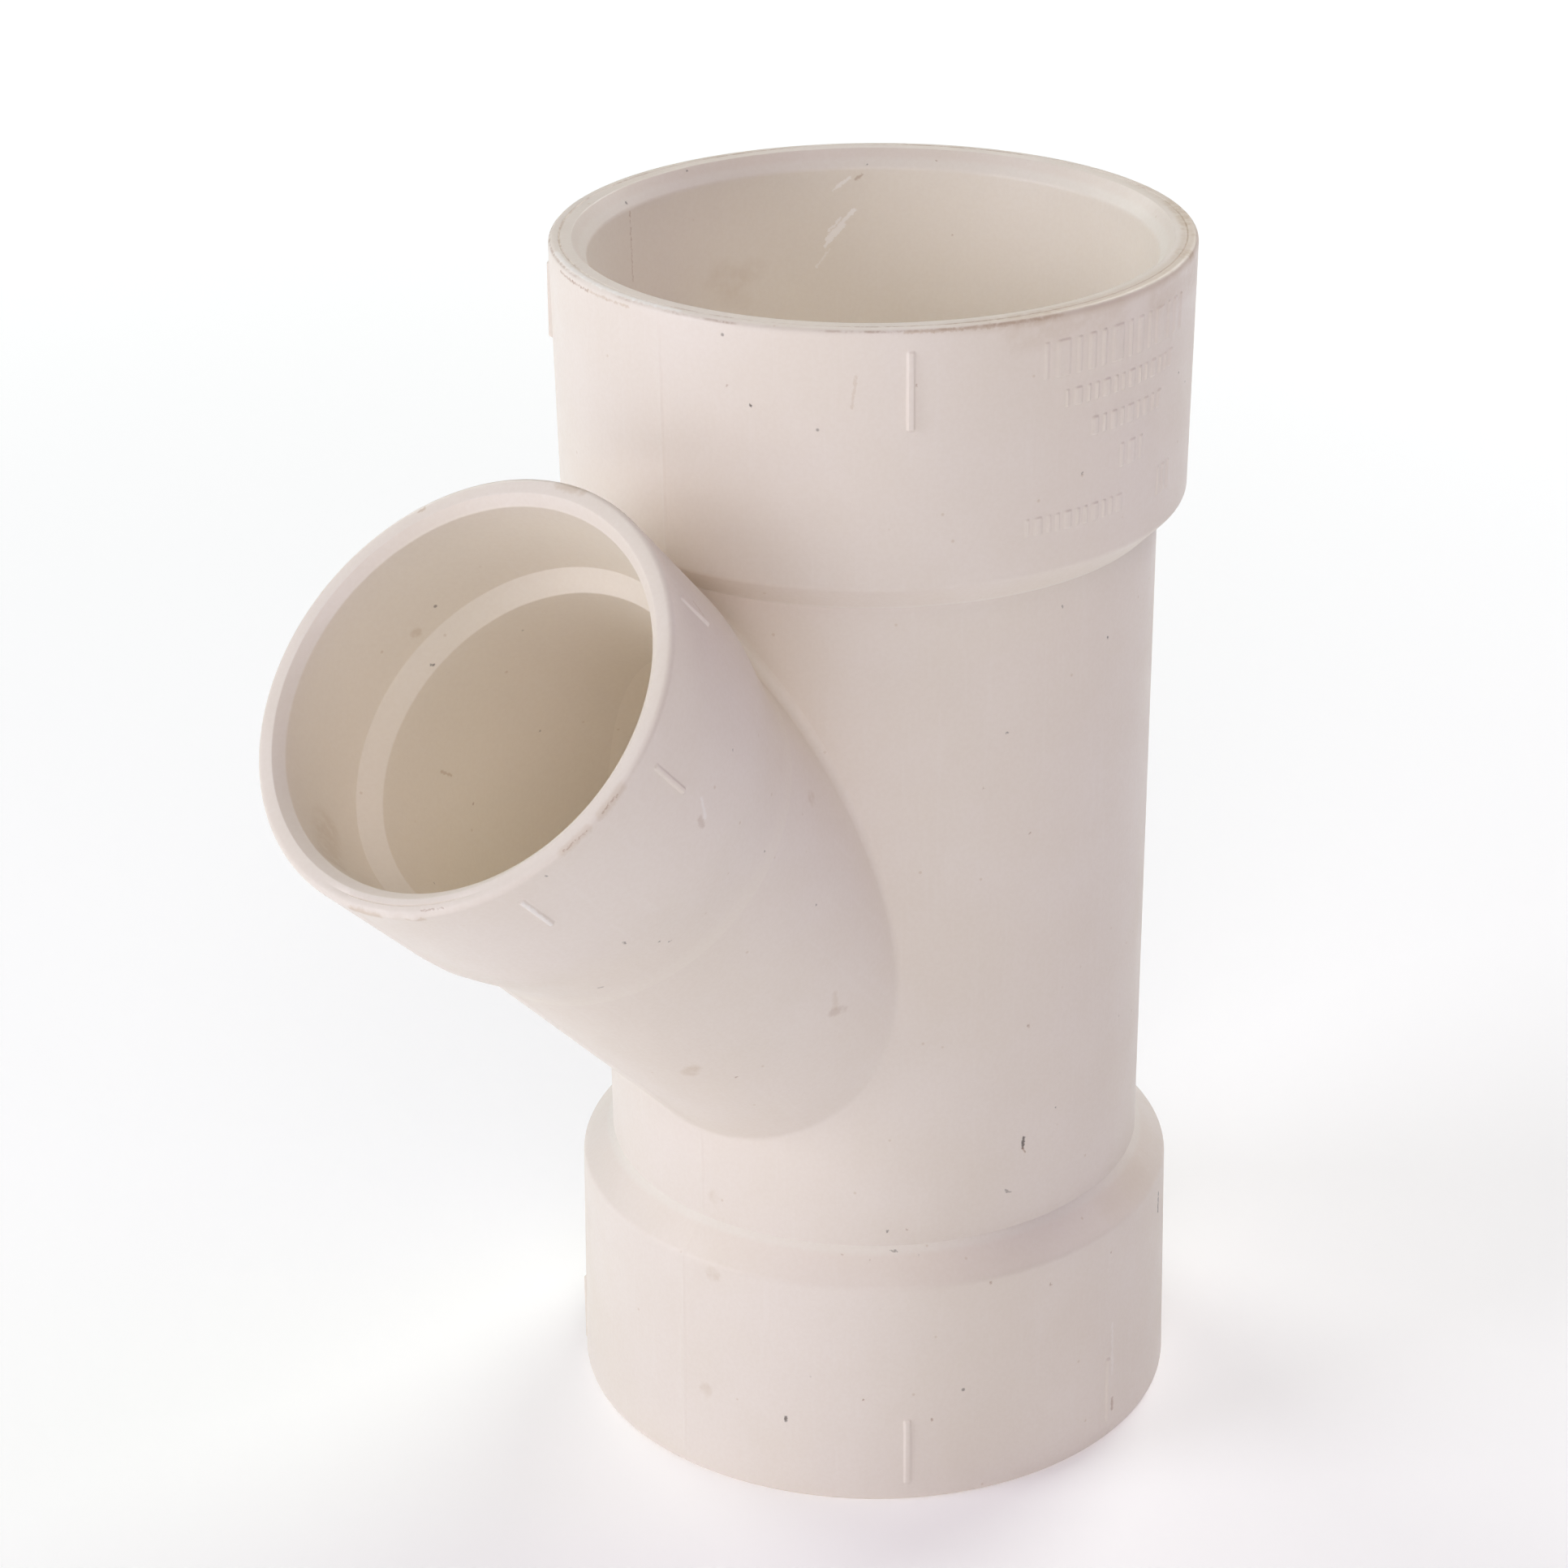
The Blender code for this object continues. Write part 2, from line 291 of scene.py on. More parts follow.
def divided(spans, coarse):
    """Bearings round a full turn: coarse steps, and finer ones in spans of (middle, half
    width, step), all in degrees."""
    edges = []
    for middle, half, step in spans:
        edges.append((middle - half, middle + half, step))
    edges.sort()
    turn_start = edges[0][0]
    found, at = [], turn_start
    for low, high, step in edges + [(turn_start + 360, turn_start + 360, coarse)]:
        if low > at:
            count = max(1, math.ceil((low - at) / coarse - 1e-6))
            found += list(np.linspace(at, low, count, endpoint=False))
        if high > low:
            count = max(1, math.ceil((high - low) / step - 1e-6))
            found += list(np.linspace(low, high, count, endpoint=False))
        at = high
    return np.array(found)


def fine_spans(ribs, rib_width, radius):
    """Spans of fine columns over the ribs and over the parting ridge."""
    def degrees(size):
        return math.degrees(size / radius)

    over_rib = degrees(rib_width / 2 + 0.12 * MM)
    over_ridge = degrees(0.7 * MM)
    spans = [(middle, over_rib, degrees(RIB_FINE)) for middle in ribs]
    spans += [(middle, over_ridge, degrees(0.17 * MM)) for middle in (0, 180)]
    return spans


def rib_stations(rib):
    """Depths at which rows are needed to draw a rib's two ends."""
    _, length, start, _ = rib
    steps = np.array([-0.05, 0.1, 0.22, 0.34, 0.48, 0.8]) * MM
    return list(start + steps) + list(start + length - steps)


# ---- meshes --------------------------------------------------------------------------------


def run_points(bearing, radius, z):
    angle, radius, z = np.broadcast_arrays(np.radians(bearing), radius, z)
    return np.stack([RUN_X - radius * np.cos(angle), -radius * np.sin(angle), z], axis=-1)


def branch_points(bearing, radius, length):
    angle, radius, length = np.broadcast_arrays(np.radians(bearing), radius, length)
    out = np.cos(angle)[..., None] * UPPER + np.sin(angle)[..., None] * NEAR
    return CROSSING + length[..., None] * ALONG + radius[..., None] * out


def grid_faces(columns, rows, close_columns, close_rows):
    """Four-cornered faces over points numbered down one column after another."""
    column = np.arange(columns if close_columns else columns - 1)
    row = np.arange(rows if close_rows else rows - 1)
    column, row = (x.ravel() for x in np.meshgrid(column, row, indexing="ij"))
    here, beside = column * rows, (column + 1) % columns * rows
    below = (row + 1) % rows
    return np.stack([here + row, beside + row, beside + below, here + below], axis=1)


def make_piece(name, patches):
    """One closed mesh from patches of (points, faces), welded where they share points."""
    points, faces, count = [], [], 0
    for patch_points, patch_faces in patches:
        flat = patch_points.reshape(-1, 3)
        points.append(flat)
        faces.append(patch_faces + count)
        count += len(flat)
    mesh = bpy.data.meshes.new(name)
    mesh.from_pydata(np.concatenate(points).tolist(), [], np.concatenate(faces).tolist())
    built = bmesh.new()
    built.from_mesh(mesh)
    bmesh.ops.remove_doubles(built, verts=built.verts, dist=WELD)
    bmesh.ops.recalc_face_normals(built, faces=built.faces)
    built.to_mesh(mesh)
    built.free()
    mesh.shade_smooth()
    mesh.set_sharp_from_angle(angle=math.radians(SHARP_DEG))
    piece = bpy.data.objects.new(name, mesh)
    bpy.context.scene.collection.objects.link(piece)
    return piece


def ring_piece(name, points):
    """A solid whose section, points[column], is a closed outline carried round an axis."""
    columns, rows = points.shape[:2]
    return make_piece(name, [(points, grid_faces(columns, rows, True, True))])


# ---- run hubs ------------------------------------------------------------------------------


def run_hub_outline(barrel_r, crease, stations):
    """The section of a run hub as (radius, depth from the rim), from the crease outside,
    over the rim and down the socket to the crease inside."""
    half_step = STEP_WIDTH / 2
    corners = [
        (barrel_r, crease, 0),
        (SHOULDER_R, crease - (SHOULDER_R - barrel_r), SHOULDER_EDGE),
        (RIM_R, 0, RIM_EDGE),
        (RUN_STEP_R + half_step, 0, 0),
        (RUN_STEP_R, STEP_DEPTH, 0),
        (RUN_STEP_R - half_step, 0, 0),
        (LAND_R, 0, 0.3 * MM),
        (MOUTH_R, LEAD_DEPTH, 1.1 * MM),
        (SEAT_R, SOCKET_DEPTH, 0.35 * MM),
        (BORE_R, SOCKET_DEPTH + SEAT_DROP, 0.5 * MM),
        (BORE_R, crease, 0),
    ]
    outline = rounded(corners)
    return with_stations(outline, stations, RIM_EDGE * 1.2, crease - 6 * MM)


def build_run_hub(name, barrel_r, crease, upward, ribs, rib):
    """A run hub that faces up, and then carries the bars, or down."""
    spans = fine_spans(ribs, rib[0], RIM_R)
    stations = rib_stations(rib) + list(np.arange(2.0, 40.0, 2.0) * MM)
    if upward:
        middle = sum(BAR_ZONE) / 2
        spans.append((middle, middle - BAR_ZONE[0], math.degrees(FINE / RIM_R)))
        for low, high in (row[:2] for row in BAR_ROWS):
            steps = np.array([-0.04, 0.06, 0.14, 0.22, 0.32, 0.5]) * MM
            stations += list(TOP - low - steps) + list(TOP - high + steps)
    bearings = divided(spans, COARSE_DEG)[:, None]
    outline = run_hub_outline(barrel_r, crease, sorted(set(stations)))
    radius, depth = outline[None, :, 0], outline[None, :, 1]
    z = TOP - depth if upward else depth + 0 * radius
    outer = np.arange(outline.shape[0])[None, :] < np.argmin(outline[:, 1])
    ridge = np.minimum(ridge_relief(bearings, RIM_R), np.maximum(RIM_R - radius, 0))
    relief = rib_relief(bearings, depth, RIM_R, ribs, rib) + ridge
    if upward:
        relief = np.maximum(relief, bar_relief(bearings, z))
    fade = smooth(0, 1.0 * MM, depth - RIM_EDGE * 0.6) * smooth(0, 1.0 * MM, crease - depth)
    points = run_points(bearings, radius + relief * fade * outer, z)
    return ring_piece(name, points)


# ---- branch hub, arm and barrel ------------------------------------------------------------


def meet(bearing, radius_of, gap_of, reach):
    """Distances along the branch at which a point on it comes as far from the run's axis as
    the given surface, found by halving. radius_of and gap_of take that distance."""
    low, high = (np.full(bearing.shape, end) for end in SEARCH_SPAN)
    for _ in range(HALVINGS):
        middle = (low + high) / 2
        inside = gap_of(radius_of(bearing, middle)) < reach
        low, high = np.where(inside, middle, low), np.where(inside, high, middle)
    return (low + high) / 2


def from_run_axis(points):
    return np.hypot(points[..., 0] - RUN_X, points[..., 1])


def port_line(bearing, bore, surface_radius):
    """Where a bore of the branch crosses a surface of revolution of the run."""
    return meet(
        bearing,
        lambda b, length: branch_points(b, bore, length),
        lambda points: from_run_axis(points) - surface_radius(points[..., 2]),
        0.0,
    )


def ball_centres(bearing, length):
    """Centres of the saddle fillet's ball when it touches the branch at this distance."""
    step = 0.01 * MM
    slope = (branch_radius(length + step) - branch_radius(length - step)) / (2 * step)
    lean = np.sqrt(1 + slope**2)
    radius = branch_radius(length) + SADDLE_R / lean
    return branch_points(bearing, radius, length - SADDLE_R * slope / lean)


def saddle_rows(bearing, steps=6):
    """(distances along the branch where the fillet starts, rows of points down the fillet)."""
    start = meet(
        bearing,
        ball_centres,
        lambda points: from_run_axis(points) - barrel_radius(points[..., 2]),
        SADDLE_R,
    )
    centre = ball_centres(bearing, start)
    on_branch = branch_points(bearing, branch_radius(start), start)
    place, z = run_place(centre)
    on_barrel = run_points(place, barrel_radius(z), z)
    a, b = (on_branch - centre) / SADDLE_R, (on_barrel - centre) / SADDLE_R
    sweep = np.arccos(np.clip((a * b).sum(-1, keepdims=True), -1, 1))
    rows = []
    for t in np.linspace(0, 1, steps + 1):
        mixed = (a * np.sin((1 - t) * sweep) + b * np.sin(t * sweep)) / np.sin(sweep)
        rows.append(centre + SADDLE_R * mixed)
    rows[0], rows[-1] = on_branch, on_barrel
    return start, rows


def run_place(points):
    """(bearing, z) on the run of points given in the row frame."""
    bearing = np.degrees(np.arctan2(-points[..., 1], RUN_X - points[..., 0]))
    return bearing, points[..., 2]


def between(start, end, shares):
    """Rows of values from start to end, at these shares of the way."""
    return [start + (end - start) * share for share in shares]


BRANCH_SPANS = fine_spans(BRANCH_RIBS, BRANCH_RIB[0], BRANCH_RIM_R)
BRANCH_SPANS += [(middle, 6.0, 0.9) for middle in (17, 163, 197, 343)]
BRANCH_BEARINGS = divided(BRANCH_SPANS, 2.5)
BRANCH_BEARINGS = np.sort((BRANCH_BEARINGS + 180.0) % 360.0 - 180.0)
SADDLE_START, SADDLE = saddle_rows(BRANCH_BEARINGS)
ARM_END = np.maximum(SHOULDER_FOOT, SADDLE_START + 2.0 * MM)
PORT_OUTSIDE = port_line(BRANCH_BEARINGS, BRANCH_BORE_R, barrel_radius)
PORT_INSIDE = port_line(BRANCH_BEARINGS, BRANCH_BORE_R, lambda z: BORE_R + 0 * z)


def branch_skin(length):
    """Points on the branch's outer skin, parting ridge included."""
    radius = branch_radius(length)
    fade = smooth(0, 3 * MM, length - SADDLE_START)
    relief = ridge_relief(BRANCH_BEARINGS, ARM_R) * fade
    return branch_points(BRANCH_BEARINGS, radius + relief, length)


def build_branch_arm():
    rows = [branch_skin(length) for length in between(ARM_END, SADDLE_START, np.linspace(0, 1, 16))]
    rows[-1] = SADDLE[0]
    rows += SADDLE[1:]
    rows += hidden_skin()[1:]
    for length in between(PORT_OUTSIDE, ARM_END, np.linspace(0, 1, 9)[1:]):
        rows.append(branch_points(BRANCH_BEARINGS, BRANCH_BORE_R, length))
    return ring_piece("moulded_branch_arm", np.stack(rows, axis=1))


def hidden_skin():
    """The barrel's skin under the arm, from the fillet's foot to the branch's bore."""
    bearing_out, z_out = run_place(SADDLE[-1])
    edge = branch_points(BRANCH_BEARINGS, BRANCH_BORE_R, PORT_OUTSIDE)
    bearing_in, z_in = run_place(edge)
    rows = []
    for share in np.linspace(0, 1, 4):
        bearing = bearing_out + (bearing_in - bearing_out) * share
        z = z_out + (z_in - z_out) * share
        rows.append(run_points(bearing, barrel_radius(z), z))
    rows[0], rows[-1] = SADDLE[-1], edge
    return rows


def build_branch_hub():
    half_step = STEP_WIDTH / 2
    rim = BRANCH_LENGTH
    corners = [
        (BRANCH_SHOULDER_R, rim - SHOULDER_TOP, 0),
        (BRANCH_RIM_R, 0, BRANCH_RIM_EDGE),
        (BRANCH_STEP_R + half_step, 0, 0),
        (BRANCH_STEP_R, STEP_DEPTH, 0),
        (BRANCH_STEP_R - half_step, 0, 0),
        (BRANCH_LAND_R, 0, 0.3 * MM),
        (BRANCH_MOUTH_R, BRANCH_LAND_R - BRANCH_MOUTH_R, 0.5 * MM),
        (BRANCH_SEAT_R, BRANCH_SOCKET_DEPTH, 0.3 * MM),
        (BRANCH_BORE_R, BRANCH_SOCKET_DEPTH + BRANCH_SEAT_DROP, 0.5 * MM),
        (BRANCH_BORE_R, BRANCH_SOCKET_DEPTH + BRANCH_SEAT_DROP + 1.0 * MM, 0),
    ]
    stations = sorted(rib_stations(BRANCH_RIB) + list(np.arange(2.0, 22.0, 1.5) * MM))
    outline = with_stations(rounded(corners), stations, BRANCH_RIM_EDGE * 1.2, 22 * MM)
    bearings = BRANCH_BEARINGS[:, None]
    radius, depth = outline[None, :, 0], outline[None, :, 1]
    outer = np.arange(outline.shape[0])[None, :] < np.argmin(outline[:, 1])
    middle, half = BRANCH_STEP_SPAN
    stretch = 1 - smooth(0.5, 1.0, np.abs(np.degrees(turned(bearings, middle))) / half)
    in_step = np.abs(radius - BRANCH_STEP_R) < half_step / 2
    depth = depth * np.where(in_step, stretch, 1)
    relief = rib_relief(bearings, depth, BRANCH_RIM_R, BRANCH_RIBS, BRANCH_RIB)
    relief = relief + ridge_relief(bearings, ARM_R)
    fade = smooth(0, 1.0 * MM, depth - BRANCH_RIM_EDGE * 0.6)
    relief = relief * fade + nub_relief(bearings, depth)
    hub = branch_points(bearings, radius + relief * outer, rim - depth)
    top = np.full(BRANCH_BEARINGS.shape, SHOULDER_TOP)
    shoulder = [branch_skin(length) for length in between(ARM_END, top, np.linspace(0, 1, 22)[:-1])]
    foot = np.full(BRANCH_BEARINGS.shape, rim - outline[-1, 1])
    bore = [
        branch_points(BRANCH_BEARINGS, BRANCH_BORE_R, length)
        for length in between(foot, ARM_END, np.linspace(0, 1, 8)[1:])
    ]
    points = np.concatenate([np.stack(shoulder, axis=1), hub, np.stack(bore, axis=1)], axis=1)
    return ring_piece("moulded_branch_hub", points)


def build_barrel():
    count = len(BRANCH_BEARINGS)
    top_corner = int(np.argmin(np.abs(BRANCH_BEARINGS - WINDOW_CORNER)))
    low_corner = int(np.argmin(np.abs(BRANCH_BEARINGS - (180.0 - WINDOW_CORNER))))
    start = int(np.argmin(np.abs(BRANCH_BEARINGS)))
    # Columns over the top of the window, rows down its side, both shared by its far half.
    across = top_corner - start
    down = low_corner - top_corner
    saddle = SADDLE[-1]
    steps = np.linalg.norm(np.roll(saddle, -1, axis=0) - saddle, axis=1)
    top_run = np.concatenate([[0], np.cumsum(steps[start:top_corner])])
    low_run = np.concatenate([[0], np.cumsum(steps[low_corner:low_corner + across][::-1])])
    columns = (top_run / top_run[-1] + low_run / low_run[-1]) / 2 * WINDOW_DEG
    side_run = np.concatenate([[0], np.cumsum(steps[top_corner:low_corner])])
    window_top = CREASE_HIGH - WINDOW_MARGIN
    window_low = CREASE_LOW + 4 * WINDOW_MARGIN
    heights = window_top + (window_low - window_top) * side_run / side_run[-1]

    window_bearings = np.concatenate([-columns[::-1], columns[1:]])
    rest = divided(fine_spans((), 0, BARREL_R_LOW), 2.5)
    rest = np.sort(rest % 360.0)
    rest = rest[(rest > WINDOW_DEG + 1.0) & (rest < 360.0 - WINDOW_DEG - 1.0)]
    bearings = np.concatenate([window_bearings, rest])
    rows = np.concatenate(
        [
            np.linspace(CREASE_HIGH, window_top, 2)[:-1],
            heights,
            np.linspace(window_low, CREASE_LOW, 4)[1:],
        ]
    )
    first_row = 1
    last_row = first_row + down
    wide = len(window_bearings)

    def perimeter():
        """(bearing, z) round the window, in step with the branch's own bearings."""
        found = np.zeros((count, 2))
        for i in range(count):
            offset = (i - start) % count
            if offset <= across:
                found[i] = columns[offset], window_top
            elif offset <= across + down:
                found[i] = WINDOW_DEG, heights[offset - across]
            elif offset <= 3 * across + down:
                place = offset - across - down
                found[i] = window_bearings[wide - 1 - place], window_low
            elif offset <= 3 * across + 2 * down:
                place = offset - 3 * across - down
                found[i] = -WINDOW_DEG, heights[down - place]
            else:
                place = offset - 3 * across - 2 * down
                found[i] = window_bearings[place], window_top
        return found

    edge = perimeter()

    def skin(radius_of, with_ridge):
        grid_b, grid_z = np.meshgrid(bearings, rows, indexing="ij")
        radius = radius_of(grid_z)
        if with_ridge:
            radius = radius + ridge_relief(grid_b, BARREL_R_LOW) * barrel_fade(grid_z)
        faces = grid_faces(len(bearings), len(rows), True, False)
        column, row = faces[:, 0] // len(rows), faces[:, 0] % len(rows)
        inside = (column < wide - 1) & (row >= first_row) & (row < last_row)
        return run_points(grid_b, radius, grid_z), faces[~inside]

    def collar(loop, radius_of, with_ridge, layers):
        """The patch between a loop of points and the window's edge."""
        loop_b, loop_z = run_place(loop)
        found = []
        for share in np.linspace(0, 1, layers + 1) ** 1.25:
            bearing = loop_b + (edge[:, 0] - loop_b) * share
            z = loop_z + (edge[:, 1] - loop_z) * share
            radius = radius_of(z)
            if with_ridge:
                fade = barrel_fade(z) * (0 if share == 0 else 1)
                radius = radius + ridge_relief(bearing, BARREL_R_LOW) * fade
            found.append(run_points(bearing, radius, z))
        found[0] = loop
        points = np.stack(found, axis=1)
        return points, grid_faces(count, layers + 1, True, False)

    def strip(strip_rows):
        points = np.stack(strip_rows, axis=1)
        return points, grid_faces(count, len(strip_rows), True, False)

    def bore(z):
        return BORE_R + 0 * z

    inner_edge = branch_points(BRANCH_BEARINGS, BRANCH_BORE_R, PORT_INSIDE)
    tunnel_end = branch_points(BRANCH_BEARINGS, BRANCH_BORE_R, PORT_INSIDE + PORT_EDGE)
    wide_bore = BRANCH_BORE_R + PORT_EDGE
    mouth = branch_points(BRANCH_BEARINGS, wide_bore, port_line(BRANCH_BEARINGS, wide_bore, bore))
    tunnel = [
        branch_points(BRANCH_BEARINGS, BRANCH_BORE_R, length)
        for length in between(PORT_OUTSIDE, PORT_INSIDE + PORT_EDGE, np.linspace(0, 1, 6))
    ]
    rounding = [
        (1 - t) ** 2 * tunnel_end + 2 * t * (1 - t) * inner_edge + t**2 * mouth
        for t in np.linspace(0, 1, 7)
    ]
    patches = [
        skin(barrel_radius, True),
        collar(SADDLE[-1], barrel_radius, True, 14),
        strip(hidden_skin()),
        strip(tunnel),
        strip(rounding),
        collar(mouth, bore, False, 14),
        skin(bore, False),
    ]
    for z in (CREASE_HIGH, CREASE_LOW):
        ridge = ridge_relief(bearings, BARREL_R_LOW) * barrel_fade(np.array(z))
        outside = run_points(bearings, barrel_radius(z) + ridge, z)
        inside = run_points(bearings, BORE_R, z)
        points = np.stack([outside, inside], axis=1)
        patches.append((points, grid_faces(len(bearings), 2, True, False)))
    return make_piece("moulded_run_barrel", patches)


def barrel_fade(z):
    """The parting ridge dies out at the creases, where the hubs begin."""
    return smooth(0, 1.0 * MM, CREASE_HIGH - z) * smooth(0, 1.0 * MM, z - CREASE_LOW)


# ---- materials -----------------------------------------------------------------------------


PALE = (0.86, 0.788, 0.715, 1)
DEEP = (0.84, 0.764, 0.678, 1)
# Painted light: brighter, yellower colours for the insides of the sockets, the branch and the
# barrel, standing in for light coming through the wall and bouncing inside.
SOCKET_BORE_LIGHT = (0.885, 0.852, 0.775, 1)
BRANCH_BORE_LIGHT = (0.89, 0.828, 0.724, 1)
BARREL_BORE_LIGHT = (0.93, 0.868, 0.762, 1)
# Pale colour for scratches and drag lines, also used for painted highlights on a rib crown, along a
# rim edge and on the socket scratches.
PALE_SCRATCH_AND_HIGHLIGHT = (0.97, 0.94, 0.90, 1)
TAN = (0.60, 0.47, 0.34, 1)
SOIL = (0.38, 0.23, 0.145, 1)
SPECK = (0.10, 0.075, 0.06, 1)
SOILED_SIDE = tuple(run_points(108.0, RIM_R, TOP))
SOILED_REACH = (14 * MM, 58 * MM)
SOILED_SHARE = 0.72
RUN_AXIS = (Vector((RUN_X, 0, 0)), Vector((0, 0, 1)))
BRANCH_AXIS = (Vector(CROSSING), Vector(ALONG))

# Noise and cell textures, in cells per metre.
CLOUD_SCALE = 34
GRAIN_SCALE = 1500
DRAG_SCALE = 760
DRAG_STRETCH = 0.94
STRETCH_SCALE = 48
BREAK_SCALE = 900
SPECK_SCALE = 82
DUST_SCALE = 160
JITTER_SCALE = 1600
PATCH_SCALE = 420
SHEEN_SCALE = 120
SKIN_SCALE = 520

# How much of each shows, and the plastic's gloss and relief.
GRAIN_SHARE = 0.045
DRAG_SHARE = 0.05
SPECK_SHARE = 0.62
DUST_SHARE = 0.40
JITTER = 0.9 * MM
WIDE_MARK = 0.3 * MM
SHEEN = (0.36, 0.50)
GRAIN_SHEEN = 0.05
DRAG_RELIEF = 0.18
BUMP_STRENGTH = 0.30
BUMP_DEPTH = 0.018 * MM
PLASTIC_IOR = 1.5


def placed(points, colour, strength, half, soft, radius, *ends):
    """A mark, its sizes given in millimetres: a spot at one end, or a line between two.
    Most marks are wear and dirt; a few are painted highlights and painted shade.
    """
    places = [Vector(points(bearing, radius * MM, along * MM)) for bearing, along in ends]
    return colour, strength, half * MM, soft * MM, places[0], places[-1]


def run_marks(*rows):
    """Marks on the run, each (colour, strength, half width, soft edge, radius, ends), an end
    being (bearing, height)."""
    return tuple(placed(run_points, *row) for row in rows)


def branch_marks(*rows):
    """The same on the branch, an end being (bearing, distance from the crossing)."""
    return tuple(placed(branch_points, *row) for row in rows)


def rim_marks(colour, strength, half, soft, radius, z, first, last):
    """A curved line along the upper rim, between two bearings, in short lengths."""
    ends = np.linspace(first, last, max(2, round(abs(last - first) / 5) + 1))
    rows = [(colour, strength, half, soft, radius, (a, z), (b, z)) for a, b in zip(ends, ends[1:])]
    return run_marks(*rows)


UPPER_MARKS = run_marks(
    (SPECK, 0.85, 0.10, 0.22, 50.9, (17.9, 191.5)),
    (SOIL, 0.45, 0.10, 0.25, 50.9, (13.7, 194.2)),
    (TAN, 0.30, 0.10, 0.25, 50.9, (35.2, 192.2), (35.9, 197.0)),
    (SPECK, 0.80, 0.10, 0.25, 50.8, (107.0, 186.6)),
    (SPECK, 0.80, 0.08, 0.20, 50.8, (111.9, 183.9)),
    (SPECK, 0.55, 0.08, 0.20, 50.7, (77.3, 177.9)),
    (SOIL, 0.45, 0.08, 0.20, 50.95, (46.0, 195.6)),
    (TAN, 0.22, 0.8, 3.5, 51.0, (64.0, 202.0), (84.0, 202.4)),
    (TAN, 0.26, 0.8, 3.2, 51.0, (96.0, 201.4), (116.0, 200.6)),
    # Pale scratches inside the upper socket: real scratches, painted whiter as a painted highlight
    # that stands in for light caught on their raised burrs.
    (PALE_SCRATCH_AND_HIGHLIGHT, 1.0, 0.26, 0.26, 44.85, (-131.4, 189.3), (-137.2, 194.1)),
    (PALE_SCRATCH_AND_HIGHLIGHT, 1.0, 0.18, 0.24, 44.85, (-131.0, 188.2), (-135.2, 191.6)),
    (PALE_SCRATCH_AND_HIGHLIGHT, 0.9, 0.12, 0.22, 44.87, (-131.8, 190.7), (-134.4, 192.9)),
    (PALE_SCRATCH_AND_HIGHLIGHT, 0.6, 0.06, 0.22, 44.76, (-129.0, 184.6), (-131.8, 187.4)),
    (PALE_SCRATCH_AND_HIGHLIGHT, 0.9, 0.14, 0.24, 45.02, (-133.5, 198.2), (-136.4, 199.7)),
    (PALE_SCRATCH_AND_HIGHLIGHT, 0.7, 0.08, 0.22, 45.0, (-132.7, 197.6), (-134.6, 198.5)),
    (SOIL, 0.45, 0.08, 0.30, 45.05, (-137.6, 199.4), (-139.0, 200.2)),
    (TAN, 0.16, 0.5, 3.0, 44.75, (-107.0, 185.8), (-110.2, 183.4)),
    (TAN, 0.14, 0.4, 2.6, 44.75, (-115.0, 185.4), (-112.0, 184.6)),
    (TAN, 0.12, 0.4, 2.8, 44.7, (-104.5, 183.6), (-108.0, 181.4)),
    (TAN, 0.10, 0.3, 2.4, 44.7, (-112.0, 180.0)),
    (SOIL, 0.42, 0.05, 0.20, 44.95, (-80.0, 201.0), (-80.0, 195.0)),
    (SOIL, 0.34, 0.05, 0.20, 44.88, (-80.0, 195.0), (-80.0, 189.0)),
    (SPECK, 0.75, 0.12, 0.25, 45.8, (-80.1, 202.2)),
    (SPECK, 0.70, 0.08, 0.22, 46.9, (-100.5, 203.7)),
    (SPECK, 0.60, 0.08, 0.22, 45.5, (-140.0, 201.8)),
    (SOIL, 0.55, 0.08, 0.22, 46.1, (-154.7, 202.6)),
    (SOIL, 0.45, 0.08, 0.25, 44.87, (-158.7, 190.3)),
)
# Painted highlight: a pale line along the top of the near left rim, by its outer edge, standing in
# for light caught there.
UPPER_MARKS += rim_marks(PALE_SCRATCH_AND_HIGHLIGHT, 0.60, 0.20, 0.35, 50.3, 204.2, -38.0, 4.0)
UPPER_MARKS += rim_marks(SOIL, 0.60, 0.05, 0.26, 51.05, 202.9, -31.0, -19.0)
UPPER_MARKS += rim_marks(TAN, 0.50, 0.05, 0.30, 51.05, 203.0, -19.0, -7.0)
UPPER_MARKS += rim_marks(TAN, 0.50, 0.08, 0.34, 50.95, 203.8, 44.0, 72.0)
BARREL_MARKS = run_marks(
    (SPECK, 0.85, 0.12, 0.25, 45.3, (71.5, 62.1), (71.2, 60.3)),
    (SOIL, 0.60, 0.08, 0.25, 45.3, (71.2, 60.3), (71.8, 59.4)),
    (SPECK, 0.50, 0.08, 0.25, 45.3, (67.2, 53.2), (68.3, 52.7)),
    (SPECK, 0.60, 0.10, 0.25, 45.2, (41.5, 48.6)),
    (SOIL, 0.55, 0.08, 0.25, 45.2, (45.7, 48.9)),
    (SOIL, 0.55, 0.12, 0.30, 45.4, (72.0, 82.7)),
    (SPECK, 0.55, 0.08, 0.22, 45.3, (79.9, 65.6)),
    (SPECK, 0.60, 0.08, 0.25, 45.9, (78.2, 154.5)),
    (SPECK, 0.70, 0.10, 0.25, 45.8, (92.2, 146.0)),
    (SPECK, 0.55, 0.08, 0.22, 45.7, (65.7, 135.6)),
    (SOIL, 0.50, 0.08, 0.25, 45.6, (71.4, 117.3)),
    (TAN, 0.30, 0.7, 1.0, 45.2, (3.1, 50.1)),
    (SOIL, 0.50, 0.10, 0.30, 45.6, (60.9, 126.9)),
)
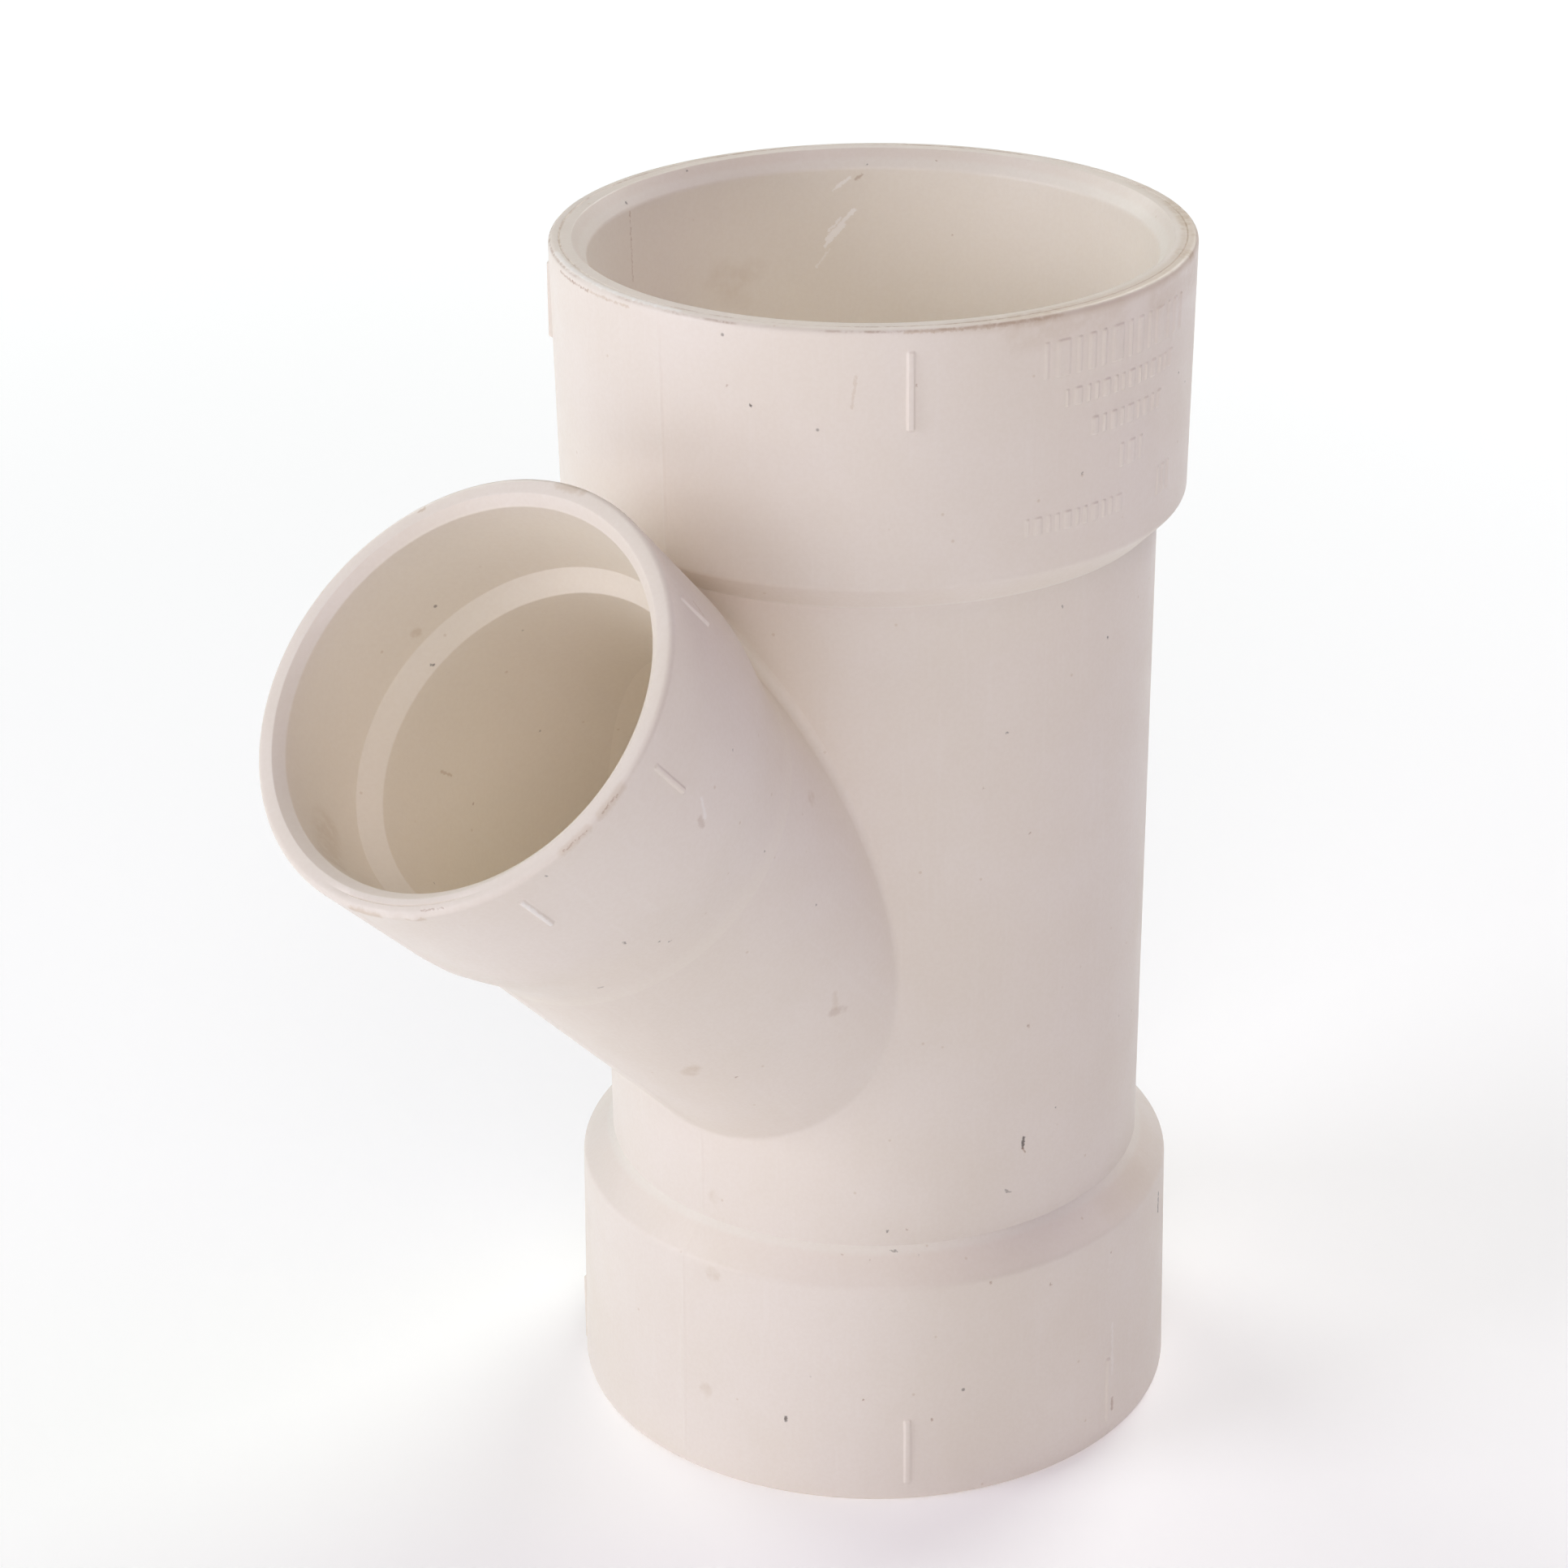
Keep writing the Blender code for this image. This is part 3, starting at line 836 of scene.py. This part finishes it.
LOWER_MARKS = run_marks(
    (SPECK, 0.85, 0.14, 0.28, 50.9, (22.0, 14.9), (22.0, 14.4)),
    (SOIL, 0.75, 0.10, 0.25, 50.8, (36.8, 19.7)),
    (SOIL, 0.70, 0.12, 0.28, 50.85, (49.6, 15.4)),
    (SPECK, 0.90, 0.16, 0.25, 50.6, (113.9, 37.0), (113.7, 33.4)),
    (SOIL, 0.50, 0.12, 0.45, 51.0, (91.5, 7.0), (91.6, 5.0)),
    (PALE_SCRATCH_AND_HIGHLIGHT, 0.35, 0.10, 0.30, 50.8, (91.3, 22.0), (91.5, 12.0)),
    (SOIL, 0.55, 0.08, 0.30, 50.5, (90.6, 36.2)),
    (SOIL, 0.60, 0.10, 0.30, 50.5, (61.0, 39.9)),
    (SOIL, 0.55, 0.10, 0.30, 50.5, (74.0, 36.1)),
    (SOIL, 0.60, 0.10, 0.30, 46.4, (32.3, 44.9)),
    (SPECK, 0.55, 0.06, 0.22, 45.9, (42.0, 45.5), (43.4, 45.2)),
    (SPECK, 0.60, 0.08, 0.22, 46.6, (47.9, 44.8)),
    (SOIL, 0.50, 0.08, 0.22, 47.0, (38.0, 44.3)),
    (TAN, 0.32, 0.8, 1.0, 50.5, (7.0, 39.0)),
    (TAN, 0.28, 0.7, 1.0, 50.8, (5.2, 16.2)),
    # Painted shade: a soft darker patch along the lower shoulder, between bearings 94 and 108.
    (TAN, 0.16, 0.2, 5.0, 48.5, (94.0, 44.0), (108.0, 44.0)),
)
ARM_MARKS = branch_marks(
    (SOIL, 0.60, 0.10, 0.30, 31.3, (143.2, 56.8)),
    (TAN, 0.45, 0.5, 1.4, 31.3, (153.4, 62.0), (151.0, 63.2)),
    (SOIL, 0.26, 0.32, 0.9, 31.3, (108.5, 56.8), (106.0, 55.2)),
    (TAN, 0.22, 0.10, 0.7, 31.3, (104.0, 59.6), (107.0, 56.9)),
    (TAN, 0.35, 0.7, 0.9, 31.3, (61.9, 84.6)),
    (SPECK, 0.60, 0.08, 0.25, 31.3, (88.0, 76.0)),
    (SPECK, 0.50, 0.08, 0.25, 27.4, (-67.6, 86.0)),
    (SOIL, 0.60, 0.10, 0.30, 27.4, (-101.1, 90.3)),
)
HUB_MARKS = branch_marks(
    (TAN, 0.40, 0.08, 0.30, 35.1, (41.0, 126.0), (43.5, 122.5)),
    (PALE_SCRATCH_AND_HIGHLIGHT, 0.45, 0.12, 0.36, 34.85, (88.4, 118.4), (91.4, 115.4)),
    (SOIL, 0.26, 0.18, 0.60, 34.8, (92.6, 116.4), (93.2, 115.0)),
    # Painted highlight: a pale line along the crown of the rib at bearing 135, standing in for
    # light on its lit edge.
    (PALE_SCRATCH_AND_HIGHLIGHT, 0.7, 0.28, 0.24, 35.6, (135.0, 131.4), (135.0, 123.4)),
    (SPECK, 0.60, 0.08, 0.25, 35.3, (125.9, 133.8)),
    (SPECK, 0.70, 0.09, 0.22, 33.2, (122.4, 102.7)),
    (SPECK, 0.65, 0.08, 0.22, 32.6, (121.1, 100.5)),
    (SPECK, 0.65, 0.08, 0.25, 34.5, (127.7, 109.4), (127.7, 108.8)),
    (SPECK, 0.55, 0.08, 0.25, 31.9, (146.5, 97.3), (145.4, 97.0)),
    (SPECK, 0.60, 0.08, 0.25, 31.4, (86.0, 94.2)),
    (SPECK, 0.50, 0.08, 0.22, 34.8, (73.2, 114.9)),
    (SPECK, 0.75, 0.08, 0.25, 28.0, (-73.9, 114.6), (-72.9, 113.9)),
    (TAN, 0.55, 0.08, 0.30, 27.4, (-99.0, 100.4), (-98.0, 97.8)),
    (TAN, 0.40, 0.5, 0.8, 30.3, (-69.3, 119.2)),
    (TAN, 0.60, 0.10, 0.30, 34.3, (-44.6, 135.9), (-43.2, 135.9)),
    (TAN, 0.50, 0.4, 1.0, 34.9, (-3.0, 135.8), (4.0, 135.8)),
    (TAN, 0.28, 0.30, 0.8, 35.1, (99.0, 135.5), (107.0, 135.5)),
    (TAN, 0.26, 0.25, 0.7, 35.0, (111.0, 135.5), (119.0, 135.6)),
    (SOIL, 0.48, 0.03, 0.18, 35.15, (100.8, 135.5), (106.2, 135.55)),
    (SOIL, 0.48, 0.03, 0.18, 35.1, (111.4, 135.55), (118.6, 135.6)),
    (TAN, 0.60, 0.20, 0.80, 35.3, (171.0, 135.0), (179.0, 135.0)),
    (TAN, 0.50, 0.15, 0.60, 35.3, (158.5, 134.8), (162.5, 134.9)),
    (SOIL, 0.45, 0.05, 0.20, 34.6, (152.0, 135.8), (158.0, 135.85)),
    (SOIL, 0.65, 0.12, 0.40, 35.4, (-143.0, 135.0), (-150.0, 134.7)),
    (TAN, 0.28, 1.2, 3.0, 30.8, (-160.0, 131.0), (-140.0, 126.0)),
)


class Recipe:
    """One material's node tree, with short ways to add to it."""

    def __init__(self, name):
        self.material = bpy.data.materials.new(name)
        self.material.use_nodes = True
        self.tree = self.material.node_tree
        self.shader = self.tree.nodes["Principled BSDF"]
        self.place = self.add("ShaderNodeTexCoord", {}).outputs["Object"]

    def add(self, kind, inputs, **settings):
        made = self.tree.nodes.new(kind)
        for key, value in settings.items():
            setattr(made, key, value)
        for socket, value in inputs.items():
            self.feed(made.inputs[socket], value)
        return made

    def feed(self, socket, value):
        if isinstance(value, bpy.types.NodeSocket):
            self.tree.links.new(value, socket)
        else:
            socket.default_value = value

    def number(self, operation, first, second=0.0):
        made = self.add("ShaderNodeMath", {0: first, 1: second}, operation=operation)
        return made.outputs["Value"]

    def vector(self, operation, first, second=(0, 0, 0)):
        made = self.add("ShaderNodeVectorMath", {0: first, 1: second}, operation=operation)
        return made.outputs["Vector"]

    def measure(self, operation, first, second=(0, 0, 0)):
        made = self.add("ShaderNodeVectorMath", {0: first, 1: second}, operation=operation)
        return made.outputs["Value"]

    def scaled(self, vector, factor):
        inputs = {"Vector": vector, "Scale": factor}
        return self.add("ShaderNodeVectorMath", inputs, operation="SCALE").outputs["Vector"]

    def noise(self, place, scale, detail=3.0, roughness=0.55, output="Fac"):
        inputs = {"Vector": place, "Scale": scale, "Detail": detail, "Roughness": roughness}
        return self.add("ShaderNodeTexNoise", inputs).outputs[output]

    def ranged(self, value, low, high, to_low=0.0, to_high=1.0):
        inputs = {"Value": value, "From Min": low, "From Max": high}
        inputs.update({"To Min": to_low, "To Max": to_high})
        made = self.add("ShaderNodeMapRange", inputs, interpolation_type="SMOOTHSTEP")
        return made.outputs["Result"]

    def mixed(self, share, first, second):
        made = self.add("ShaderNodeMix", {}, data_type="RGBA")
        colours = [socket for socket in made.inputs if socket.type == "RGBA"]
        self.feed(made.inputs["Factor"], share)
        self.feed(colours[0], first)
        self.feed(colours[1], second)
        return [socket for socket in made.outputs if socket.type == "RGBA"][0]

    def near_line(self, place, start, end, half, soft):
        """1 within half a width of a straight line, fading to 0 over the soft edge."""
        span = end - start
        away = self.vector("SUBTRACT", place, tuple(start))
        if span.length > 0:
            along = self.measure("DOT_PRODUCT", away, tuple(span / span.length_squared))
            along = self.add("ShaderNodeClamp", {"Value": along}).outputs["Result"]
            away = self.vector("SUBTRACT", away, self.scaled(tuple(span), along))
        return self.ranged(self.measure("LENGTH", away), half, half + soft, 1.0, 0.0)


def about(paint, axis):
    """(offset, distance along, distance from) an axis given as (origin, direction)."""
    origin, direction = axis
    offset = paint.vector("SUBTRACT", paint.place, tuple(origin))
    along = paint.measure("DOT_PRODUCT", offset, tuple(direction))
    across = paint.vector("SUBTRACT", offset, paint.scaled(tuple(direction), along))
    return offset, along, paint.measure("LENGTH", across)


def dots(paint, scale, half, edge, share):
    """Small round dots, one to a cell, sized as shares of a cell."""
    cells = paint.add("ShaderNodeTexVoronoi", {"Vector": paint.place, "Scale": scale})
    return paint.ranged(cells.outputs["Distance"], half, edge, share, 0.0)


def soiled(paint, colour, steps, radius, along):
    """Soil along the rim's steps in broken stretches, and a tan band on one side of it."""
    section = paint.add("ShaderNodeCombineXYZ", {"X": radius, "Y": along}).outputs["Vector"]
    stretch = paint.ranged(paint.noise(paint.place, STRETCH_SCALE, 4.0, 0.7), 0.44, 0.62)
    broken = paint.ranged(paint.noise(paint.place, BREAK_SCALE, 2.0), 0.30, 0.62)
    broken = paint.number("MULTIPLY", stretch, broken)
    patches = paint.ranged(broken, 0.0, 0.6, 0.45, 1.0)
    side = paint.measure("DISTANCE", paint.place, SOILED_SIDE)
    side = paint.ranged(side, *SOILED_REACH, SOILED_SHARE, 0.0)
    for step_radius, step_along, strength in steps:
        reach = paint.measure("DISTANCE", section, (step_radius, step_along, 0))
        line = paint.ranged(reach, 0.06 * MM, 0.34 * MM, strength, 0.0)
        colour = paint.mixed(paint.number("MULTIPLY", line, broken), colour, SOIL)
        band = paint.ranged(reach, 0.5 * MM, 1.5 * MM, 1.0, 0.0)
        band = paint.number("MULTIPLY", paint.number("MULTIPLY", band, side), patches)
        colour = paint.mixed(band, colour, TAN)
    return colour


def marked(paint, colour, marks):
    """The piece's own marks, with ragged edges; the wide ones are patchy too."""
    jitter = paint.noise(paint.place, JITTER_SCALE, 2.0, output="Color")
    jitter = paint.vector("SUBTRACT", jitter, (0.5, 0.5, 0.5))
    ragged = paint.vector("ADD", paint.place, paint.scaled(jitter, JITTER))
    patchy = paint.ranged(paint.noise(paint.place, PATCH_SCALE, 3.0), 0.30, 0.60, 0.25, 1.0)
    for mark_colour, strength, half, soft, start, end in marks:
        share = paint.near_line(ragged, start, end, half, soft)
        share = paint.number("MULTIPLY", share, strength)
        if half > WIDE_MARK:
            share = paint.number("MULTIPLY", share, patchy)
        colour = paint.mixed(share, colour, mark_colour)
    return colour


def pvc(name, axis, bore_lights, steps, marks):
    """Satin cream PVC round an axis (origin, direction): clouded colour, faint drag lines
    along the axis, a grained skin, dust and specks, and painted light in the bores. A bore
    light is a brighter, yellower colour painted inside a bore to stand in for light coming
    through the wall and bouncing inside. It is given as (axis, radius, share, colour); a step
    is (radius, distance along the axis, strength)."""
    paint = Recipe(name)
    offset, along, radius = about(paint, axis)
    cloud = paint.ranged(paint.noise(paint.place, CLOUD_SCALE), 0.34, 0.66)
    colour = paint.mixed(cloud, PALE, DEEP)
    # Painted light: inside a bore the colour is mixed towards a brighter, yellower one, standing in
    # for light coming through the wall and bouncing inside.
    for bore_light_axis, reach, share, bore_light_colour in bore_lights:
        _, ahead, away = about(paint, bore_light_axis)
        bore_lit = paint.ranged(away, reach - 0.4 * MM, reach + 0.4 * MM, share, 0.0)
        bore_lit = paint.number("MULTIPLY", bore_lit, paint.ranged(ahead, -1 * MM, 0.0))
        colour = paint.mixed(bore_lit, colour, bore_light_colour)
    grain = paint.ranged(paint.noise(paint.place, GRAIN_SCALE, 2.0), 0.35, 0.65)
    colour = paint.mixed(paint.number("MULTIPLY", grain, GRAIN_SHARE), colour, TAN)
    squeeze = paint.scaled(tuple(axis[1]), paint.number("MULTIPLY", along, DRAG_STRETCH))
    squeezed = paint.vector("SUBTRACT", offset, squeeze)
    drag = paint.ranged(paint.noise(squeezed, DRAG_SCALE, 2.0, 0.6), 0.56, 0.72)
    colour = paint.mixed(paint.number("MULTIPLY", drag, DRAG_SHARE), colour, PALE_SCRATCH_AND_HIGHLIGHT)
    colour = soiled(paint, colour, steps, radius, along)

    # Small dark specks, a few per hand's breadth, and a fainter scatter of tan dust.
    specks = dots(paint, SPECK_SCALE, 0.014, 0.034, SPECK_SHARE)
    colour = paint.mixed(specks, colour, SPECK)
    colour = paint.mixed(dots(paint, DUST_SCALE, 0.02, 0.06, DUST_SHARE), colour, TAN)
    colour = marked(paint, colour, marks)

    sheen = paint.noise(paint.place, SHEEN_SCALE, 4.0, 0.65)
    sheen = paint.ranged(sheen, 0.3, 0.7, *SHEEN)
    sheen = paint.number("ADD", sheen, paint.number("MULTIPLY", grain, GRAIN_SHEEN))
    skin = paint.noise(paint.place, SKIN_SCALE, 3.0)
    skin = paint.number("ADD", skin, paint.number("MULTIPLY", drag, DRAG_RELIEF))
    inputs = {"Strength": BUMP_STRENGTH, "Distance": BUMP_DEPTH, "Height": skin}
    bump = paint.add("ShaderNodeBump", inputs).outputs["Normal"]
    paint.feed(paint.shader.inputs["Base Color"], colour)
    paint.feed(paint.shader.inputs["Roughness"], sheen)
    paint.feed(paint.shader.inputs["Normal"], bump)
    paint.shader.inputs["IOR"].default_value = PLASTIC_IOR
    return paint.material


# ---- the object ----------------------------------------------------------------------------


def dress(piece, cad_node, slot, axis, bore_lights, steps, marks):
    piece.data.materials.append(pvc(slot, axis, bore_lights, steps, marks))
    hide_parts(cad_node)
    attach(piece, "root")


def build_object():
    depth = TOP - CREASE_HIGH
    upper = build_run_hub("moulded_upper_hub", BARREL_R_HIGH, depth, True, UPPER_RIBS, UPPER_RIB)
    depth = CREASE_LOW
    lower = build_run_hub("moulded_lower_hub", BARREL_R_LOW, depth, False, LOWER_RIBS, LOWER_RIB)
    barrel = build_barrel()
    arm = build_branch_arm()
    hub = build_branch_hub()
    edge = 0.25 * MM
    high = ((RUN_STEP_R, TOP, 0.5), (RIM_R - edge, TOP - edge, 0.6))
    low = ((RUN_STEP_R, 0.0, 0.5),)
    # Painted light: the sockets, the barrel's bore and the branch's bores get brighter colours that
    # stand in for light coming through the walls and bouncing inside.
    hub_bore_light = ((RUN_AXIS, (LAND_R + MOUTH_R) / 2, 0.5, SOCKET_BORE_LIGHT),)
    barrel_bore_light = (
        (RUN_AXIS, (BORE_R + BARREL_R_LOW) / 2, 1.0, BARREL_BORE_LIGHT),
        (BRANCH_AXIS, BRANCH_BORE_R + 0.6 * MM, 1.0, BARREL_BORE_LIGHT),
    )
    branch_bore_light = ((BRANCH_AXIS, BRANCH_MOUTH_R, 1.0, BRANCH_BORE_LIGHT),)
    arm_bore_light = ((BRANCH_AXIS, (BRANCH_BORE_R + ARM_R) / 2, 1.0, BRANCH_BORE_LIGHT),)
    dress(upper, "upper_run_hub", "pvc_upper_hub", RUN_AXIS, hub_bore_light, high, UPPER_MARKS)
    dress(lower, "lower_run_hub", "pvc_lower_hub", RUN_AXIS, hub_bore_light, low, LOWER_MARKS)
    dress(barrel, "run_barrel", "pvc_barrel", RUN_AXIS, barrel_bore_light, (), BARREL_MARKS)
    dress(arm, "branch_arm", "pvc_branch_arm", BRANCH_AXIS, arm_bore_light, (), ARM_MARKS)
    dress(hub, "branch_hub", "pvc_branch_hub", BRANCH_AXIS, branch_bore_light, (), HUB_MARKS)


# ---- floor, light and camera ---------------------------------------------------------------


# Soft round lamps: (name, bearing from the camera's side towards its right, height angle, both
# in degrees, watts, colour).
LAMPS = (
    ("key_left", -70, 20, 11.6, (0.92, 0.92, 1.0)),
    ("front_low", 0, 27, 5.5, (0.98, 0.89, 1.0)),
    ("front_high", 10, 50, 3.0, (0.95, 1.0, 0.83)),
    ("right_high", 60, 60, 2.4, (1.0, 0.78, 0.87)),
    ("right_low", 105, 35, 1.7, (0.75, 0.45, 1.0)),
    ("back_right", 150, 40, 12.8, (0.95, 1.0, 0.94)),
    ("back_left", -135, 35, 7.1, (0.95, 1.0, 0.965)),
)
LAMP_SIZE = 0.9
LAMP_DISTANCE = 1.6
CAMERA_HEADING = Vector((0.7804, 0.6252, 0))
CAMERA_DISTANCE = 673.3 * MM
CAMERA_ELEVATION = 25.635
CAMERA_AIM_Z = 94.54 * MM
CAMERA_TURNS = ((1.282, "Y"), (1.061, "X"), (-0.027, "Z"))
CAMERA_LENS = 91.58
LAMP_AIM_Z = 0.1
FLOOR_HALF = 9.0
FLOOR_GLOW = (0.15, 0.86)
FLOOR_GLOW_REACH = (0.4, 2.1)


def build_floor():
    """A white sweep that glows a little, and more with distance, so that it stays pale."""
    paint = Recipe("floor_paint")
    distance = paint.measure("DISTANCE", paint.place, (RUN_X, 0, 0))
    glow = paint.ranged(distance, *FLOOR_GLOW_REACH, *FLOOR_GLOW)
    paint.feed(paint.shader.inputs["Emission Strength"], glow)
    paint.shader.inputs["Emission Color"].default_value = (0.985, 0.965, 1.0, 1)
    paint.shader.inputs["Base Color"].default_value = (0.93, 0.93, 0.93, 1)
    paint.shader.inputs["Roughness"].default_value = 0.7
    mesh = bpy.data.meshes.new("floor")
    signs = ((-1, -1), (1, -1), (1, 1), (-1, 1))
    corners = [(x * FLOOR_HALF, y * FLOOR_HALF, 0) for x, y in signs]
    mesh.from_pydata(corners, [], [(0, 1, 2, 3)])
    floor = bpy.data.objects.new("floor", mesh)
    floor.data.materials.append(paint.material)
    bpy.context.scene.collection.objects.link(floor)


def area_light(name, place, aim, power, colour):
    data = bpy.data.lights.new(name, "AREA")
    data.shape = "DISK"
    data.size = LAMP_SIZE
    data.energy = power
    data.color = colour
    lamp = bpy.data.objects.new(name, data)
    lamp.location = place
    lamp.rotation_mode = "QUATERNION"
    lamp.rotation_quaternion = (aim - place).to_track_quat("-Z", "Y")
    bpy.context.scene.collection.objects.link(lamp)


def build_lights():
    """Lamps all round the fitting; the white surround shows but gives no light."""
    world = bpy.data.worlds.new("studio")
    world.use_nodes = True
    back = world.node_tree.nodes["Background"]
    back.inputs["Color"].default_value = (1, 1, 1, 1)
    back.inputs["Strength"].default_value = 1.0
    scene = bpy.context.scene
    scene.world = world
    world.cycles_visibility.diffuse = False
    world.cycles_visibility.glossy = False
    scene.view_settings.view_transform = "Standard"
    scene.cycles.diffuse_bounces = 8
    aim = Vector((RUN_X, 0, LAMP_AIM_Z))
    right = Vector((CAMERA_HEADING.y, -CAMERA_HEADING.x, 0))
    for name, bearing, height, power, colour in LAMPS:
        bearing, height = math.radians(bearing), math.radians(height)
        level = right * math.sin(bearing) - CAMERA_HEADING * math.cos(bearing)
        way = level * math.cos(height) + Vector((0, 0, math.sin(height)))
        area_light(name, aim + way * LAMP_DISTANCE, aim, power, colour)


def build_camera():
    """A long lens about 0.67 m from the fitting, 26 degrees above it, on the branch's side."""
    elevation = math.radians(CAMERA_ELEVATION)
    heading = CAMERA_HEADING
    ahead = heading * math.cos(elevation) - Vector((0, 0, math.sin(elevation)))
    right = Vector((heading.y, -heading.x, 0))
    up = right.cross(ahead)
    place = Vector((RUN_X, 0, CAMERA_AIM_Z)) - ahead * CAMERA_DISTANCE
    turn = Matrix((right, up, -ahead)).transposed()
    for angle, axis in CAMERA_TURNS:
        turn = turn @ Matrix.Rotation(math.radians(angle), 3, axis)
    data = bpy.data.cameras.new("camera")
    data.sensor_width = 36.0
    data.lens = CAMERA_LENS
    data.clip_start = 0.01
    camera = bpy.data.objects.new("camera", data)
    camera.location = place
    camera.rotation_mode = "QUATERNION"
    camera.rotation_quaternion = turn.to_quaternion()
    bpy.context.scene.collection.objects.link(camera)
    bpy.context.scene.camera = camera


build_object()
build_floor()
build_lights()
build_camera()
